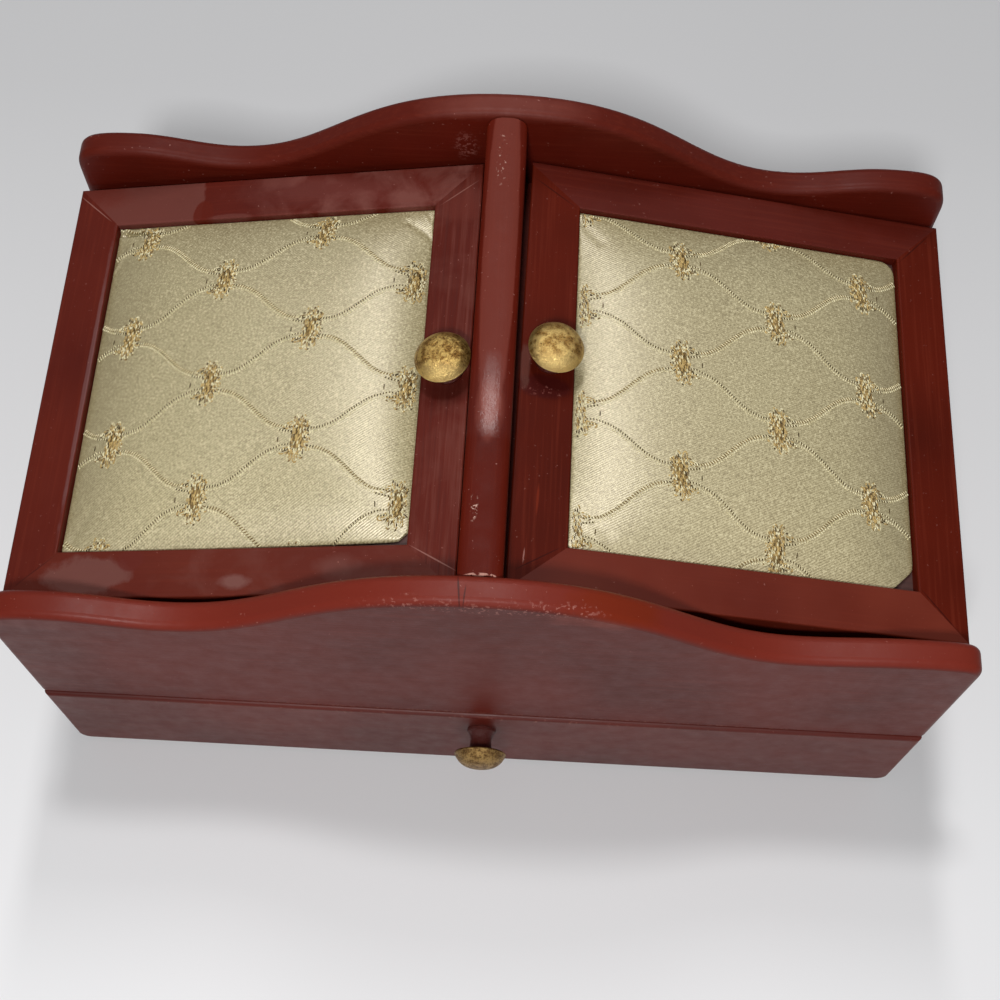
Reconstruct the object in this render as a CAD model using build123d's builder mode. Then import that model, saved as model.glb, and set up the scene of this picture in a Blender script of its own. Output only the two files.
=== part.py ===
from build123d import *
from math import cos, radians, sin, tan
import os

os.makedirs("parts", exist_ok=True)

# A sewing box of painted wood. X runs along its length, the front faces -Y and Z is up.
# The origin is the middle of its foot, at the height of the table. All sizes are in millimetres.

# Case
box_length = 306.0
box_depth = 182.0
board_thickness = 9.5
front_board_bottom = 56.0
side_inset = 1.5
side_height = 101.8
floor_thickness = 5.0
base_thickness = 6.0
edge_round = 0.8

# Waved rims of the front and back boards: a crest in the middle, a dip and a lobe at each end
crest_height = 162.0
dip_height = 127.5
dip_share = 0.641
lobe_height = 131.8
lobe_share = 0.856
rim_end_drop = 12.5
front_right_dip_height = 126.6
front_right_lobe_height = 128.8
front_right_end_drop = 9.0
rim_round = 2.5
crest_pull = 0.57
dip_pull = 0.37
lobe_pull = 0.35
end_pull = 0.79
square_end_pull = 0.84

# Divider between the two compartments, whose rounded top stands between the lids
divider_thickness = 13.5
divider_place = -1.0
divider_drop = 1.0
divider_top_round = 5.6
divider_back_gap = 0.7
rest_width = 7.5
rest_height = 9.0
rest_gap = 0.3

# Lids, which slope up from the hinges at the ends to the divider
lid_slope = 10.65
lid_thickness = 9.5
lid_end_gap = 2.75
rail_width = 16.2
lid_seam = 0.4
left_lid_gap = 0.9
right_lid_gap = 1.35
left_lid_taper = 0.0
right_lid_taper = 1.7
left_stile_width = 16.2
right_stile_width = 18.2
left_lid_shift = 0.1
right_lid_shift = 1.9
rebate_width = 5.0
rebate_depth = 5.5
panel_thickness = 3.0
panel_clearance = 0.2
rail_edge_round = 0.7

# Padded panels
pad_clearance = 0.3
pad_edge_drop = 1.2
pad_crown = 6.0
pad_corner = 5.0
pad_stations = (-1.0, -0.88, -0.5, 0.0, 0.5, 0.88, 1.0)

# Knobs and their screws
knob_diameter = 18.2
knob_height = 13.8
knob_rim_height = 9.0
knob_foot_diameter = 10.0
knob_foot_edge = 1.0
knob_neck_diameter = 7.4
knob_neck_height = 3.8
knob_rim_thickness = 0.8
knob_screw_diameter = 3.5
knob_screw_head = 6.8
knob_screw_bite = 7.5
left_knob_place = -2.4
right_knob_place = 3.4
left_knob_inset = 7.1
right_knob_inset = 9.9
drawer_knob_height = 39.5

# Hinges
hinge_length = 25.0
hinge_spread_share = 0.584
leaf_width = 8.0
leaf_thickness = 0.9
barrel_diameter = 3.8
hinge_pin_diameter = 1.8
pin_clearance = 0.04
knuckle_gap = 0.2
hinge_screw_diameter = 2.0
hinge_screw_head = 3.6
hinge_screw_length = 7.0
hinge_screw_spread = 15.0
screw_clearance = 0.02
screw_end_gap = 0.5

# Drawer
drawer_front_gap = 1.2
drawer_floor_gap = 1.0
drawer_end_inset = 1.0
drawer_proud = 1.0
drawer_side_thickness = 7.0
drawer_side_gap = 0.8
drawer_run_gap = 0.3
drawer_stop_gap = 0.4
drawer_side_height = 43.0
drawer_bottom_thickness = 3.0
drawer_bottom_lift = 4.0
drawer_groove_depth = 3.0
drawer_front_corner = 5.0
drawer_front_round = 1.6

# Places that follow from those sizes
half_length = box_length / 2
dip_place = half_length * dip_share
lobe_place = half_length * lobe_share
lobe_inset = half_length - lobe_place
barrel = barrel_diameter / 2
hinge_offset = barrel + knuckle_gap
half_depth = box_depth / 2
half_bay_depth = half_depth - board_thickness
lid_depth = 2 * (half_bay_depth - lid_end_gap)
hinge_spread = lid_depth * hinge_spread_share
side_outer = half_length - side_inset
side_inner = side_outer - board_thickness
floor_top = front_board_bottom + floor_thickness
slope_cos = cos(radians(lid_slope))
slope_sin = sin(radians(lid_slope))
slope_tan = tan(radians(lid_slope))
hinge_x = side_outer + hinge_offset * slope_cos + lid_seam / 2 * slope_sin
hinge_z = side_height - hinge_offset * slope_sin + lid_seam / 2 * slope_cos
lid_under = lid_seam / 2
lid_top = lid_under + lid_thickness
rebate_top = lid_under + rebate_depth


def lid_plane(side, shift):
    # Lies along the lid, through its hinge axis: x runs from the hinge to the divider, z out of the top.
    return Plane(
        origin=(side * hinge_x, shift, hinge_z),
        x_dir=(-side * slope_cos, 0, slope_sin),
        z_dir=(side * slope_sin, 0, slope_cos),
    )


def lid_height(x, above):
    # The height, at a distance x from the middle, of the slope that lies this far above the hinge axis.
    return hinge_z + (hinge_x - x) * slope_tan + above / slope_cos


def rim_half(side, dip, lobe, end_drop, pull, bottom):
    # One half of a board's edge, from the crest over the dip and the lobe down to the bottom corner.
    crest_handle = crest_pull * dip_place
    dip_handle = dip_pull * dip_place
    lobe_handle = lobe_pull * (lobe_place - dip_place)
    end_height = lobe - end_drop
    Bezier(
        (0, crest_height),
        (side * crest_handle, crest_height),
        (side * (dip_place - dip_handle), dip),
        (side * dip_place, dip),
    )
    Bezier(
        (side * dip_place, dip),
        (side * (dip_place + lobe_handle), dip),
        (side * (lobe_place - lobe_handle), lobe),
        (side * lobe_place, lobe),
    )
    Bezier(
        (side * lobe_place, lobe),
        (side * (lobe_place + pull * lobe_inset), lobe),
        (side * half_length, end_height + pull * end_drop),
        (side * half_length, end_height),
    )
    Line((side * half_length, end_height), (side * half_length, bottom))


def turned_knob(seat):
    # A mushroom knob on a flared foot; the seat plane's z is the knob's axis.
    foot = knob_foot_diameter / 2
    neck = knob_neck_diameter / 2
    cap = knob_diameter / 2
    cap_low = knob_rim_height - knob_rim_thickness / 2
    cap_high = knob_rim_height + knob_rim_thickness / 2
    rim_edge = cap - knob_rim_thickness / 4
    flare = (foot + 3 * neck) / 4
    with BuildPart() as knob:
        with BuildSketch(Plane(seat.origin, x_dir=seat.x_dir, z_dir=-seat.y_dir)):
            with BuildLine():
                Polyline((0, knob_height), (0, 0), (foot, 0), (foot, knob_foot_edge))
                ThreePointArc(
                    (foot, knob_foot_edge),
                    (flare, (knob_foot_edge + knob_neck_height) / 2),
                    (neck, knob_neck_height),
                )
                Bezier((neck, knob_neck_height), (neck, cap_low), (cap / 2, cap_low), (rim_edge, cap_low))
                ThreePointArc((rim_edge, cap_low), (cap, knob_rim_height), (rim_edge, cap_high))
                Bezier((rim_edge, cap_high), (cap * 3 / 4, knob_height), (cap / 3, knob_height), (0, knob_height))
            make_face()
        revolve(axis=Axis(seat.origin, seat.z_dir))
        with BuildSketch(seat):
            Circle(knob_screw_diameter / 2 + screw_clearance)
        extrude(amount=knob_screw_bite + screw_end_gap, mode=Mode.SUBTRACT)
    return knob.part


def wood_screw(seat, diameter, head, length):
    # A countersunk screw, flush with the seat plane and running down its -z.
    with BuildPart() as screw:
        with BuildSketch(Plane(seat.origin, x_dir=seat.x_dir, z_dir=-seat.y_dir)):
            with BuildLine():
                Polyline(
                    (0, 0),
                    (head / 2, 0),
                    (diameter / 2, (diameter - head) / 2),
                    (diameter / 2, diameter - length),
                    (0, -length),
                    close=True,
                )
            make_face()
        revolve(axis=Axis(seat.origin, seat.z_dir))
    return screw.part


def screw_hole(seat, diameter, head, length):
    # The hole that such a screw fills, cut from the part being built.
    with Locations(seat):
        CounterSinkHole(
            diameter / 2 + screw_clearance,
            head / 2 + screw_clearance,
            depth=length + screw_clearance,
            counter_sink_angle=90,
        )


# Case

with BuildPart() as front_board:
    with BuildSketch(Plane.XZ.offset(half_bay_depth)):
        with BuildLine():
            rim_half(-1, dip_height, lobe_height, rim_end_drop, end_pull, front_board_bottom)
            rim_half(
                1,
                front_right_dip_height,
                front_right_lobe_height,
                front_right_end_drop,
                square_end_pull,
                front_board_bottom,
            )
            Line((-half_length, front_board_bottom), (half_length, front_board_bottom))
        make_face()
    extrude(amount=board_thickness)
    rim_edges = front_board.faces().sort_by(Axis.Y)[0].edges() + front_board.faces().sort_by(Axis.Y)[-1].edges()
    fillet([edge for edge in rim_edges if edge.center().Z > front_board_bottom + edge_round], rim_round)
    fillet(front_board.faces().sort_by(Axis.Z)[0].edges().filter_by(Axis.X), edge_round)

with BuildPart() as back_board:
    with BuildSketch(Plane.XZ.offset(-half_depth)):
        with BuildLine():
            rim_half(-1, dip_height, lobe_height, rim_end_drop, end_pull, 0)
            rim_half(1, dip_height, lobe_height, rim_end_drop, end_pull, 0)
            Line((-half_length, 0), (half_length, 0))
        make_face()
    extrude(amount=board_thickness)
    rim_edges = back_board.faces().sort_by(Axis.Y)[0].edges() + back_board.faces().sort_by(Axis.Y)[-1].edges()
    fillet([edge for edge in rim_edges if edge.center().Z > edge_round], rim_round)

with BuildPart() as centre_divider:
    with BuildSketch(Plane.XY.offset(floor_top)):
        divider_depth = 2 * half_bay_depth - divider_back_gap
        with Locations((divider_place, -divider_back_gap / 2)):
            Rectangle(divider_thickness, divider_depth)
    extrude(amount=crest_height - divider_drop - floor_top)
    fillet(centre_divider.faces().sort_by(Axis.Z)[-1].edges().filter_by(Axis.Y), divider_top_round)

with BuildPart() as compartment_floor:
    with BuildSketch(Plane.XY.offset(front_board_bottom)):
        Rectangle(2 * side_inner, 2 * half_bay_depth)
    extrude(amount=floor_thickness)

with BuildPart() as base_panel:
    with BuildSketch():
        Rectangle(2 * side_inner, 2 * half_bay_depth)
    extrude(amount=base_thickness)

for piece, name in (
    (front_board, "front_board"),
    (back_board, "back_board"),
    (centre_divider, "centre_divider"),
    (compartment_floor, "compartment_floor"),
    (base_panel, "base_panel"),
):
    piece.part.label = name
    export_step(piece.part, f"parts/{name}.step")


# Drawer, which slides out towards -Y on the base panel

drawer_face = half_depth + drawer_proud
drawer_front_back = drawer_face - board_thickness
drawer_front_top = front_board_bottom - drawer_front_gap
drawer_side_outer = side_inner - drawer_side_gap
drawer_side_inner = drawer_side_outer - drawer_side_thickness
drawer_end = half_bay_depth - drawer_stop_gap
drawer_low = base_thickness + drawer_run_gap
drawer_bottom_low = drawer_low + drawer_bottom_lift
drawer_bottom_top = drawer_bottom_low + drawer_bottom_thickness
drawer_half_bottom = drawer_side_inner + drawer_groove_depth
drawer_knob_seat = Plane((0, -drawer_face, drawer_knob_height), x_dir=(1, 0, 0), z_dir=(0, -1, 0))
drawer_screw_seat = Plane((0, -drawer_front_back, drawer_knob_height), x_dir=(-1, 0, 0), z_dir=(0, 1, 0))
drawer_screw_length = board_thickness + knob_screw_bite

with BuildPart() as drawer_front:
    with BuildSketch(Plane.XZ.offset(drawer_front_back)):
        with Locations((0, (drawer_front_top + drawer_floor_gap) / 2)):
            Rectangle(2 * (half_length - drawer_end_inset), drawer_front_top - drawer_floor_gap)
    extrude(amount=board_thickness)
    fillet(drawer_front.edges().filter_by(Axis.Y).group_by(Axis.Z)[0], drawer_front_corner)
    fillet(drawer_front.faces().sort_by(Axis.Y)[0].edges(), drawer_front_round)
    with BuildSketch(Plane.XY.offset(drawer_bottom_low)):
        with Locations((0, -drawer_front_back)):
            Rectangle(2 * drawer_half_bottom, 2 * drawer_groove_depth)
    extrude(amount=drawer_bottom_thickness, mode=Mode.SUBTRACT)
    screw_hole(drawer_screw_seat, knob_screw_diameter, knob_screw_head, board_thickness)

with BuildPart() as drawer_bottom:
    with BuildSketch(Plane.XY.offset(drawer_bottom_low)):
        with Locations((0, (drawer_end - drawer_front_back - drawer_groove_depth) / 2)):
            Rectangle(2 * drawer_half_bottom, drawer_end + drawer_front_back + drawer_groove_depth)
    extrude(amount=drawer_bottom_thickness)

with BuildPart() as drawer_back:
    with BuildSketch(Plane.XY.offset(drawer_bottom_top)):
        with Locations((0, drawer_end - drawer_side_thickness / 2)):
            Rectangle(2 * drawer_side_inner, drawer_side_thickness)
    extrude(amount=drawer_low + drawer_side_height - drawer_bottom_top)

for piece, name in (
    (drawer_front, "drawer_front"),
    (drawer_bottom, "drawer_bottom"),
    (drawer_back, "drawer_back"),
):
    piece.part.label = name
    export_step(piece.part, f"parts/{name}.step")

for side, hand in ((-1, "left"), (1, "right")):
    with BuildPart() as drawer_side:
        with BuildSketch(Plane.XY.offset(drawer_low)):
            with Locations(
                (side * (drawer_side_inner + drawer_side_thickness / 2), (drawer_end - drawer_front_back) / 2)
            ):
                Rectangle(drawer_side_thickness, drawer_end + drawer_front_back)
        extrude(amount=drawer_side_height)
        with BuildSketch(Plane.XY.offset(drawer_bottom_low)):
            Rectangle(2 * drawer_half_bottom, 2 * box_depth)
        extrude(amount=drawer_bottom_thickness, mode=Mode.SUBTRACT)
        fillet(drawer_side.faces().sort_by(Axis.Z)[-1].edges().filter_by(Axis.Y), edge_round)
    drawer_side.part.label = f"drawer_{hand}_side"
    export_step(drawer_side.part, f"parts/drawer_{hand}_side.step")

drawer_knob = turned_knob(drawer_knob_seat)
drawer_knob.label = "drawer_knob"
export_step(drawer_knob, "parts/drawer_knob.step")
drawer_knob_screw = wood_screw(drawer_screw_seat, knob_screw_diameter, knob_screw_head, drawer_screw_length)
drawer_knob_screw.label = "drawer_knob_screw"
export_step(drawer_knob_screw, "parts/drawer_knob_screw.step")


# Hinges: two leaves that share a row of knuckles on a pin

leaf_end = hinge_offset + leaf_width
leaf_tab = barrel / 2
pin_bore = hinge_pin_diameter / 2 + pin_clearance
knuckle_length = (hinge_length - 2 * knuckle_gap) / 3
box_knuckles = (-knuckle_length - knuckle_gap, knuckle_length + knuckle_gap)
lid_knuckles = (0.0,)
hinge_screw_places = (-hinge_screw_spread / 2, hinge_screw_spread / 2)


def hinge_screw_seat(plane, up, place):
    # The screw's head lies flush with the leaf's face in the seam; up is 1 in the lid and -1 in the case.
    seam_face = plane.offset(up * lid_seam / 2)
    origin = seam_face.from_local_coords((hinge_offset + leaf_width / 2, place, 0))
    return Plane(origin, x_dir=plane.x_dir, z_dir=plane.z_dir * -up)


def hinge_leaf(plane, up, knuckles):
    leaf_low = lid_seam / 2 if up > 0 else -lid_seam / 2 - leaf_thickness
    with BuildPart() as leaf:
        with BuildSketch(plane.offset(leaf_low)):
            with Locations((hinge_offset + leaf_width / 2, 0)):
                Rectangle(leaf_width, hinge_length)
            for place in knuckles:
                with Locations(((leaf_tab + leaf_end) / 2, place)):
                    Rectangle(leaf_end - leaf_tab, knuckle_length)
        extrude(amount=leaf_thickness)
        for place in knuckles:
            knuckle_end = plane.from_local_coords((0, place - knuckle_length / 2, 0))
            with BuildSketch(Plane(knuckle_end, z_dir=plane.y_dir)):
                Circle(barrel)
            extrude(amount=knuckle_length)
        with BuildSketch(Plane(plane.origin, z_dir=plane.y_dir)):
            Circle(pin_bore)
        extrude(amount=hinge_length, both=True, mode=Mode.SUBTRACT)
        for place in hinge_screw_places:
            seat = hinge_screw_seat(plane, up, place)
            screw_hole(seat, hinge_screw_diameter, hinge_screw_head, hinge_screw_length)
    return leaf.part


def hinge_pin(plane):
    pin_end = plane.from_local_coords((0, -hinge_length / 2, 0))
    with BuildPart() as pin:
        with BuildSketch(Plane(pin_end, z_dir=plane.y_dir)):
            Circle(hinge_pin_diameter / 2)
        extrude(amount=hinge_length)
    return pin.part


def hinge_seats(planes, up):
    # Mortises and screw holes for the leaves on these planes, cut from the part being built.
    for plane in planes:
        mortise = plane.offset(up * (lid_seam + leaf_thickness) / 2)
        middle = mortise.from_local_coords((leaf_end / 2, 0, 0))
        with Locations(Plane(middle, x_dir=plane.x_dir, z_dir=plane.z_dir)):
            Box(leaf_end, hinge_length, leaf_thickness, mode=Mode.SUBTRACT)
        for place in hinge_screw_places:
            seat = hinge_screw_seat(plane, up, place)
            screw_hole(seat, hinge_screw_diameter, hinge_screw_head, hinge_screw_length)


# Sides, lids and hinges, once for each hand


def lid_rail(lid, corners, opening_outer, opening_inner, inner_face):
    # One mitred length of a lid's frame, rebated below, with its inner end cut upright beside the divider.
    with BuildPart() as rail:
        with BuildSketch(lid.offset(lid_under)):
            with BuildLine():
                Polyline(*corners, close=True)
            make_face()
        extrude(amount=lid_thickness)
        with BuildSketch(lid.offset(lid_under)):
            with Locations(((opening_outer + opening_inner) / 2, 0)):
                Rectangle(
                    opening_inner - opening_outer + 2 * rebate_width,
                    lid_depth - 2 * (rail_width - rebate_width),
                )
        extrude(amount=rebate_depth, mode=Mode.SUBTRACT)
        split(bisect_by=inner_face, keep=Keep.TOP)
        top_face = rail.faces().sort_by(Axis(lid.origin, lid.z_dir))[-1]
        fillet(top_face.edges().sort_by(SortBy.LENGTH)[-2:], rail_edge_round)
    return rail.part


def lid_pad(lid, opening_outer, opening_inner):
    # A crowned cushion: cross sections with an arched top, lofted along the lid.
    low = rebate_top
    edge = lid_top - pad_edge_drop
    middle = (opening_outer + opening_inner) / 2
    half_span = (opening_inner - opening_outer) / 2 - pad_clearance
    half_width = lid_depth / 2 - rail_width - pad_clearance
    with BuildPart() as pad:
        for share in pad_stations:
            station = lid.from_local_coords((middle + share * half_span, 0, 0))
            drawn_in = half_width - pad_corner * abs(share) ** 12
            crown = pad_edge_drop / 2 + (pad_edge_drop / 2 + pad_crown) * (1 - abs(share) ** 4)
            with BuildSketch(Plane(station, x_dir=lid.y_dir, z_dir=lid.x_dir)):
                with BuildLine():
                    Polyline((-drawn_in, edge), (-drawn_in, low), (drawn_in, low), (drawn_in, edge))
                    ThreePointArc((drawn_in, edge), (0, edge + crown), (-drawn_in, edge))
                make_face()
        loft()
    return pad.part


for side, hand, gap, taper, stile_width, shift, knob_place, knob_inset in (
    (
        -1,
        "left",
        left_lid_gap,
        left_lid_taper,
        left_stile_width,
        left_lid_shift,
        left_knob_place,
        left_knob_inset,
    ),
    (
        1,
        "right",
        right_lid_gap,
        right_lid_taper,
        right_stile_width,
        right_lid_shift,
        right_knob_place,
        right_knob_inset,
    ),
):
    lid = lid_plane(side, shift)
    divider_face = divider_thickness / 2 + side * divider_place
    hinge_planes = {
        "front": lid_plane(side, shift - hinge_spread / 2),
        "back": lid_plane(side, shift + hinge_spread / 2),
    }

    with BuildPart() as side_panel:
        with BuildSketch(Plane.XZ):
            with BuildLine():
                Polyline(
                    (side * side_outer, 0),
                    (side * side_outer, lid_height(side_outer, -lid_seam / 2)),
                    (side * side_inner, lid_height(side_inner, -lid_seam / 2)),
                    (side * side_inner, 0),
                    close=True,
                )
            make_face()
        extrude(amount=half_bay_depth, both=True)
        hinge_seats(hinge_planes.values(), -1)

    with BuildPart() as lid_rest:
        rest_start = divider_face
        rest_end = rest_start + rest_width
        rest_top = lid_under - rest_gap
        rest_bottom = lid_height(rest_start, rest_top) - rest_height
        with BuildSketch(Plane.XZ):
            with BuildLine():
                Polyline(
                    (side * rest_start, rest_bottom),
                    (side * rest_start, lid_height(rest_start, rest_top)),
                    (side * rest_end, lid_height(rest_end, rest_top)),
                    (side * rest_end, rest_bottom),
                    close=True,
                )
            make_face()
        extrude(amount=lid_depth / 2, both=True)

    # The lid's inner end runs a little askew, by its taper from front to back.
    inner_face = Plane((side * (divider_face + gap), 0, 0), z_dir=(side, -taper / lid_depth, 0))
    lid_end = (hinge_x - divider_face - gap + lid_top * slope_sin) / slope_cos
    outer, inner = hinge_offset, lid_end + taper / 2
    opening_outer, opening_inner = outer + rail_width, lid_end - stile_width
    half_lid, half_opening = lid_depth / 2, lid_depth / 2 - rail_width
    rails = {
        "outer_stile": (
            (outer, -half_lid), (outer, half_lid), (opening_outer, half_opening), (opening_outer, -half_opening),
        ),
        "inner_stile": (
            (inner, -half_lid), (inner, half_lid), (opening_inner, half_opening), (opening_inner, -half_opening),
        ),
    }
    for end, name in ((-side, "back_rail"), (side, "front_rail")):
        rails[name] = (
            (outer, end * half_lid),
            (inner, end * half_lid),
            (opening_inner, end * half_opening),
            (opening_outer, end * half_opening),
        )
    lid_parts = {
        name: lid_rail(lid, corners, opening_outer, opening_inner, inner_face) for name, corners in rails.items()
    }

    with BuildPart() as outer_stile:
        add(lid_parts["outer_stile"])
        hinge_seats(hinge_planes.values(), 1)
    lid_parts["outer_stile"] = outer_stile.part

    knob_at = (lid_end - knob_inset, -side * (knob_place - shift), 0)
    knob_seat = Plane(lid.offset(lid_top).from_local_coords(knob_at), x_dir=lid.x_dir, z_dir=lid.z_dir)
    screw_seat = Plane(lid.offset(lid_under).from_local_coords(knob_at), x_dir=lid.x_dir, z_dir=-lid.z_dir)
    with BuildPart() as inner_stile:
        add(lid_parts["inner_stile"])
        screw_hole(screw_seat, knob_screw_diameter, knob_screw_head, lid_thickness)
    lid_parts["inner_stile"] = inner_stile.part
    lid_parts["knob"] = turned_knob(knob_seat)
    lid_parts["knob_screw"] = wood_screw(
        screw_seat, knob_screw_diameter, knob_screw_head, lid_thickness + knob_screw_bite
    )

    with BuildPart() as panel:
        with BuildSketch(lid.offset(rebate_top - panel_thickness)):
            with Locations(((opening_outer + opening_inner) / 2, 0)):
                Rectangle(
                    opening_inner - opening_outer + 2 * (rebate_width - panel_clearance),
                    2 * (half_opening + rebate_width - panel_clearance),
                )
        extrude(amount=panel_thickness)
    lid_parts["panel"] = panel.part
    lid_parts["pad"] = lid_pad(lid, opening_outer, opening_inner)

    pieces = {f"{hand}_lid_{name}": part for name, part in lid_parts.items()}
    pieces[f"{hand}_side_panel"] = side_panel.part
    pieces[f"{hand}_lid_rest"] = lid_rest.part
    for place, plane in hinge_planes.items():
        pieces[f"{hand}_{place}_hinge_box_leaf"] = hinge_leaf(plane, -1, box_knuckles)
        pieces[f"{hand}_{place}_hinge_lid_leaf"] = hinge_leaf(plane, 1, lid_knuckles)
        pieces[f"{hand}_{place}_hinge_pin"] = hinge_pin(plane)
    for up, name in ((-1, "box"), (1, "lid")):
        screws = [
            wood_screw(
                hinge_screw_seat(plane, up, place), hinge_screw_diameter, hinge_screw_head, hinge_screw_length
            )
            for plane in hinge_planes.values()
            for place in hinge_screw_places
        ]
        pieces[f"{hand}_hinge_{name}_screws"] = Compound(children=screws)
    for name, piece in pieces.items():
        piece.label = name
        export_step(piece, f"parts/{name}.step")
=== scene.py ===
import math
import random

import bmesh
import bpy
from mathutils import Matrix, Vector, noise
from mathutils.bvhtree import BVHTree


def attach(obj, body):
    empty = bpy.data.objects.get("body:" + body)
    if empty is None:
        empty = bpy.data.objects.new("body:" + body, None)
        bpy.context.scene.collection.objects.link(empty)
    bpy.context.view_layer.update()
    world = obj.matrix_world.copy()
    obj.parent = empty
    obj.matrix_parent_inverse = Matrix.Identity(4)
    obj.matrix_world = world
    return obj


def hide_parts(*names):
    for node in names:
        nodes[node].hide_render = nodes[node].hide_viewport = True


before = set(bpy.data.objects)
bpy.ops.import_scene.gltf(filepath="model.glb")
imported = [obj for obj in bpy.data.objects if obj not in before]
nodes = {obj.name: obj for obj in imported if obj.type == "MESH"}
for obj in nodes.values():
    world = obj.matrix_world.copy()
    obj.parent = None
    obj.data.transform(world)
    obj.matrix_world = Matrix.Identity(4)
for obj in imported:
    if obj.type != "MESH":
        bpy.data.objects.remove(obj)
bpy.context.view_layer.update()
mm = 0.001

print("camera, floor and lamps")

camera = {
    "place": (0.009369, -0.242721, 0.565946),
    "tilt": 0.4288900,  # radians away from straight down
    "turn": 0.0310338,
    "roll": 0.0228863,
    "lens": 54.953,
    "sensor": 36.0,
}
cameraData = bpy.data.cameras.new("photoCamera")
cameraData.lens = camera["lens"]
cameraData.sensor_width = camera["sensor"]
cameraData.clip_start = 0.02
cameraObject = bpy.data.objects.new("photoCamera", cameraData)
bpy.context.scene.collection.objects.link(cameraObject)
cameraObject.matrix_world = (
    Matrix.Translation(camera["place"])
    @ Matrix.Rotation(camera["turn"], 4, "Z")
    @ Matrix.Rotation(camera["tilt"], 4, "X")
    @ Matrix.Rotation(camera["roll"], 4, "Z")
)
bpy.context.scene.camera = cameraObject
bpy.context.scene.view_settings.view_transform = "Standard"

# The ceiling lamp is small and throws the shadow on the floor in front. The front lamp throws the one
# behind the box. The back lamp is narrow, and long from front to back. It gives the satin its sheen and the
# top of the divider its spot of light. The low wide lamp in front shines on the knobs. Lengths are in metres.
lamps = {
    "ceilingLamp": {
        "towards": (-0.09, 0.18, 1.2), "aim": (0, 0, 0.10), "distance": 1.23, "watts": 4.2, "size": 0.12,
    },
    "frontLamp": {
        "towards": (-0.06, -0.56, 0.80), "aim": (0, 0, 0.10), "distance": 0.95, "watts": 5.0, "size": 0.10,
    },
    "backLamp": {
        "towards": (-0.023, 0.49, 0.87), "aim": (0, -0.029, 0.16), "distance": 1.3, "watts": 4.3,
        "size": 0.10, "long": 0.42,
    },
    "lowLamp": {
        "towards": (0.03, -1.0, 0.28), "aim": (0, 0, 0.10), "distance": 1.3, "watts": 2.2, "size": 0.40,
    },
}
for name, lamp in lamps.items():
    data = bpy.data.lights.new(name, "AREA")
    data.shape = "RECTANGLE"
    data.size = lamp["size"]
    data.size_y = lamp.get("long", lamp["size"])
    data.energy = lamp["watts"]
    lampObject = bpy.data.objects.new(name, data)
    bpy.context.scene.collection.objects.link(lampObject)
    towards = Vector(lamp["towards"]).normalized()
    lampObject.location = Vector(lamp["aim"]) + towards * lamp["distance"]
    lampObject.rotation_euler = towards.to_track_quat("Z", "Y").to_euler()


def linearColour(hexText):
    parts = [int(hexText[i:i + 2], 16) / 255 for i in (1, 3, 5)]
    return [p / 12.92 if p <= 0.04045 else ((p + 0.055) / 1.055) ** 2.4 for p in parts] + [1.0]


def addNode(tree, kind, sockets=None, **settings):
    # Sockets go by name or number. In a Map Range 1 and 2 are the range read, and 3 and 4 the range given.
    # In a Mix of colours 0 is the share, and 6 and 7 are the colours. A node given as a value is linked by
    # its first output that is in use.
    node = tree.nodes.new(kind)
    for name, value in settings.items():
        setattr(node, name, value)
    for key, value in (sockets or {}).items():
        if isinstance(value, bpy.types.Node):
            value = next(socket for socket in value.outputs if socket.enabled)
        if isinstance(value, bpy.types.NodeSocket):
            tree.links.new(value, node.inputs[key])
        elif isinstance(value, str):
            node.inputs[key].default_value = linearColour(value)
        else:
            node.inputs[key].default_value = value
    return node


def newMaterial(name):
    made = bpy.data.materials.new(name)
    made.use_nodes = True
    made.node_tree.nodes.clear()
    shader = addNode(made.node_tree, "ShaderNodeBsdfPrincipled")
    addNode(made.node_tree, "ShaderNodeOutputMaterial", {"Surface": shader})
    place = addNode(made.node_tree, "ShaderNodeTexCoord").outputs["Object"]
    return made, made.node_tree, shader, place


# World: a dim even fill, paler in reflections and pale where the camera looks past the floor
fill = {"colour": "#F4F5F8", "level": 0.15, "inGloss": 0.20, "inCamera": 0.72}
world = bpy.data.worlds.new("studioWorld")
world.use_nodes = True
tree = world.node_tree
tree.nodes.clear()
ray = addNode(tree, "ShaderNodeLightPath").outputs
glossy = {0: ray["Is Glossy Ray"], 1: ray["Is Transmission Ray"]}
glossy = addNode(tree, "ShaderNodeMath", glossy, operation="MAXIMUM")
level = {0: glossy, 1: fill["inGloss"], 2: fill["level"]}
level = addNode(tree, "ShaderNodeMath", level, operation="MULTIPLY_ADD")
level = {0: ray["Is Camera Ray"], 1: fill["inCamera"], 2: level}
level = addNode(tree, "ShaderNodeMath", level, operation="MULTIPLY_ADD")
backdrop = addNode(tree, "ShaderNodeBackground", {0: fill["colour"], 1: level})
addNode(tree, "ShaderNodeOutputWorld", {"Surface": backdrop})
bpy.context.scene.world = world

# Studio paper: matt and pale, with painted shade that darkens it a little toward the back, standing for the
# lamps' falloff. Beyond the lamps' reach it fades into the pale backdrop. Lengths are in metres.
paper = {
    "front": "#E8E8E9", "back": "#CECECF", "paintedFalloffFrom": -0.18, "paintedFalloffTo": 0.22,
    "fadeFrom": 0.45, "fadeTo": 1.6, "roughness": 0.9, "gloss": 0.1, "size": 3.0, "height": -0.0002,
}
floorMaterial, tree, shader, place = newMaterial("backdropPaperWithPaintedFalloff")
# Painted shade: the paper's colour goes from the front tone to the darker back tone
back = addNode(tree, "ShaderNodeSeparateXYZ", {0: place}).outputs["Y"]
back = addNode(tree, "ShaderNodeMapRange", {0: back, 1: paper["paintedFalloffFrom"], 2: paper["paintedFalloffTo"]})
shade = addNode(tree, "ShaderNodeMix", {0: back, 6: paper["front"], 7: paper["back"]}, data_type="RGBA")
tree.links.new(shade.outputs[2], shader.inputs["Base Color"])
shader.inputs["Roughness"].default_value = paper["roughness"]
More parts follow.
